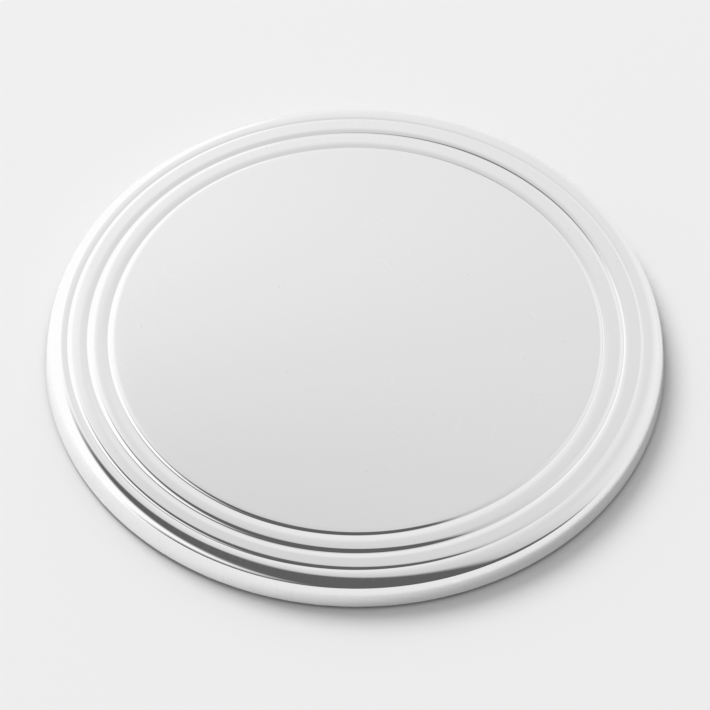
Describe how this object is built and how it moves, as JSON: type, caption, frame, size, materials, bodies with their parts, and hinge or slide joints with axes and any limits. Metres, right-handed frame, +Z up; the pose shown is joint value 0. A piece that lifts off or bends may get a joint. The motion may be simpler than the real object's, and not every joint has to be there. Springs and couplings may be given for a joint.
{
  "type": "wine bottle coaster",
  "caption": "Round polished metal coaster with a raised flat centre, rounded concentric tiers, a low hemmed skirt and a felt base, for standing a wine bottle on a table.",
  "frame": {"origin": "middle of the felt's underside, on the table", "axes": "+Z up along the axis of the disc; X and Y in the table's plane"},
  "size_m": [0.127, 0.127, 0.0081],
  "materials": {
    "silver_plate": "mirror-polished silver plate",
    "bonding_foam": "closed-cell foam sheet",
    "fibreboard": "sanded fibreboard",
    "adhesive_film": "clear tacky film",
    "felt": "pressed wool felt"
  },
  "bodies": {
    "root": {"pressed_shell": "silver_plate", "bonding_sheet": "bonding_foam", "core_board": "fibreboard", "adhesive_film": "adhesive_film", "base_felt": "felt"}
  },
  "joints": []
}
